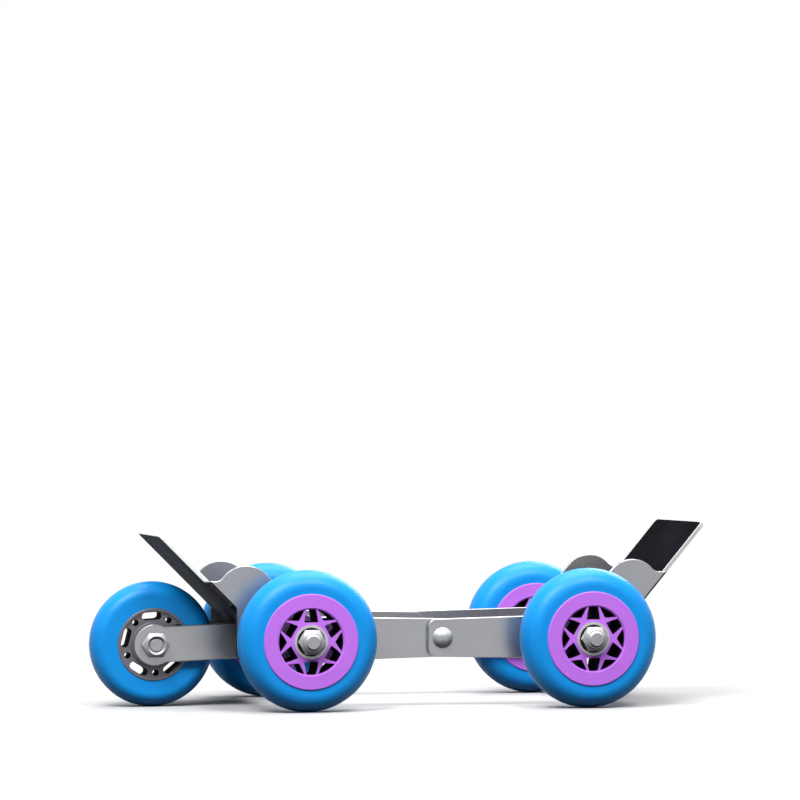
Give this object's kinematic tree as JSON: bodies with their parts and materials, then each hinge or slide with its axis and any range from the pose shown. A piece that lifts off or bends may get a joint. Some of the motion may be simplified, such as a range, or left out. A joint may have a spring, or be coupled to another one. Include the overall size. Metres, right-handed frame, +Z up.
{
  "type": "tire dolly",
  "caption": "Low folding dolly with sloping ramp plates between riveted side plates, solid wheels outside and a smaller trailing wheel, to roll a vehicle on a flat tire.",
  "frame": {"origin": "on the floor that the wheels stand on, under the middle of the whole length, in the middle plane", "axes": "+X towards the front half (the one without the tail fork), +Y to the left, +Z up"},
  "size_m": [0.444, 0.212, 0.1322],
  "materials": {
    "blue_polyurethane": "semi-gloss cast polyurethane",
    "purple_plastic": "satin moulded plastic",
    "plate_steel": "satin zinc-plated sheet steel",
    "black_coated_steel": "black coating with bare cut edges",
    "plated_hardware": "bright zinc-plated steel",
    "bearing_steel": "ground and polished steel",
    "weld_steel": "rippled weld metal",
    "hub_aluminium": "machined aluminium"
  },
  "bodies": {
    "rear_half": {"rear_right_side_plate": "plate_steel", "rear_left_side_plate": "plate_steel", "rear_ramp_plate": "black_coated_steel", "rear_ramp_welds": "weld_steel", "rear_axle_bolts": "plated_hardware", "rear_lock_nuts": "plated_hardware", "rear_axle_washers": "plated_hardware", "rear_axle_spacers": "plated_hardware", "rear_bearing_sleeves": "plated_hardware", "rear_bearing_inner_rings": "bearing_steel", "tail_right_arm": "plate_steel", "tail_left_arm": "plate_steel", "tail_arm_welds": "weld_steel", "hinge_rivets": "plated_hardware", "hinge_washers": "plated_hardware", "tail_axle_bolt": "plated_hardware", "tail_lock_nut": "plated_hardware", "tail_axle_spacers": "plated_hardware", "tail_bearing_sleeve": "plated_hardware", "tail_bearing_inner_rings": "bearing_steel"},
    "front_half": {"front_right_side_plate": "plate_steel", "front_left_side_plate": "plate_steel", "front_ramp_plate": "black_coated_steel", "front_ramp_welds": "weld_steel", "front_axle_bolts": "plated_hardware", "front_lock_nuts": "plated_hardware", "front_axle_washers": "plated_hardware", "front_axle_spacers": "plated_hardware", "front_bearing_sleeves": "plated_hardware", "front_bearing_inner_rings": "bearing_steel"},
    "rear_right_wheel": {"rear_right_tyre": "blue_polyurethane", "rear_right_hub": "purple_plastic", "rear_right_bearing_outer_rings": "bearing_steel", "rear_right_bearing_balls": "bearing_steel", "rear_right_bearing_shields": "bearing_steel"},
    "rear_left_wheel": {"rear_left_tyre": "blue_polyurethane", "rear_left_hub": "purple_plastic", "rear_left_bearing_outer_rings": "bearing_steel", "rear_left_bearing_balls": "bearing_steel", "rear_left_bearing_shields": "bearing_steel"},
    "front_right_wheel": {"front_right_tyre": "blue_polyurethane", "front_right_hub": "purple_plastic", "front_right_bearing_outer_rings": "bearing_steel", "front_right_bearing_balls": "bearing_steel", "front_right_bearing_shields": "bearing_steel"},
    "front_left_wheel": {"front_left_tyre": "blue_polyurethane", "front_left_hub": "purple_plastic", "front_left_bearing_outer_rings": "bearing_steel", "front_left_bearing_balls": "bearing_steel", "front_left_bearing_shields": "bearing_steel"},
    "tail_wheel": {"tail_tyre": "blue_polyurethane", "tail_hub": "hub_aluminium", "tail_bearing_outer_rings": "bearing_steel", "tail_bearing_balls": "bearing_steel", "tail_bearing_shields": "bearing_steel"}
  },
  "joints": [
    {"name": "fold_hinge", "type": "hinge", "parent": "rear_half", "child": "front_half", "pos_m": [0.02475, 0, 0.05], "axis": [0, -1, 0], "range_deg": [-120, 120]},
    {"name": "rear_right_wheel_spin", "type": "hinge", "parent": "rear_half", "child": "rear_right_wheel", "pos_m": [-0.07815, -0.0813, 0.05], "axis": [0, 1, 0], "continuous": true},
    {"name": "rear_left_wheel_spin", "type": "hinge", "parent": "rear_half", "child": "rear_left_wheel", "pos_m": [-0.07815, 0.0813, 0.05], "axis": [0, 1, 0], "continuous": true},
    {"name": "front_right_wheel_spin", "type": "hinge", "parent": "front_half", "child": "front_right_wheel", "pos_m": [0.12685, -0.0813, 0.05], "axis": [0, 1, 0], "continuous": true},
    {"name": "front_left_wheel_spin", "type": "hinge", "parent": "front_half", "child": "front_left_wheel", "pos_m": [0.12685, 0.0813, 0.05], "axis": [0, 1, 0], "continuous": true},
    {"name": "tail_wheel_spin", "type": "hinge", "parent": "rear_half", "child": "tail_wheel", "pos_m": [-0.17715, 0, 0.045], "axis": [0, 1, 0], "continuous": true}
  ]
}
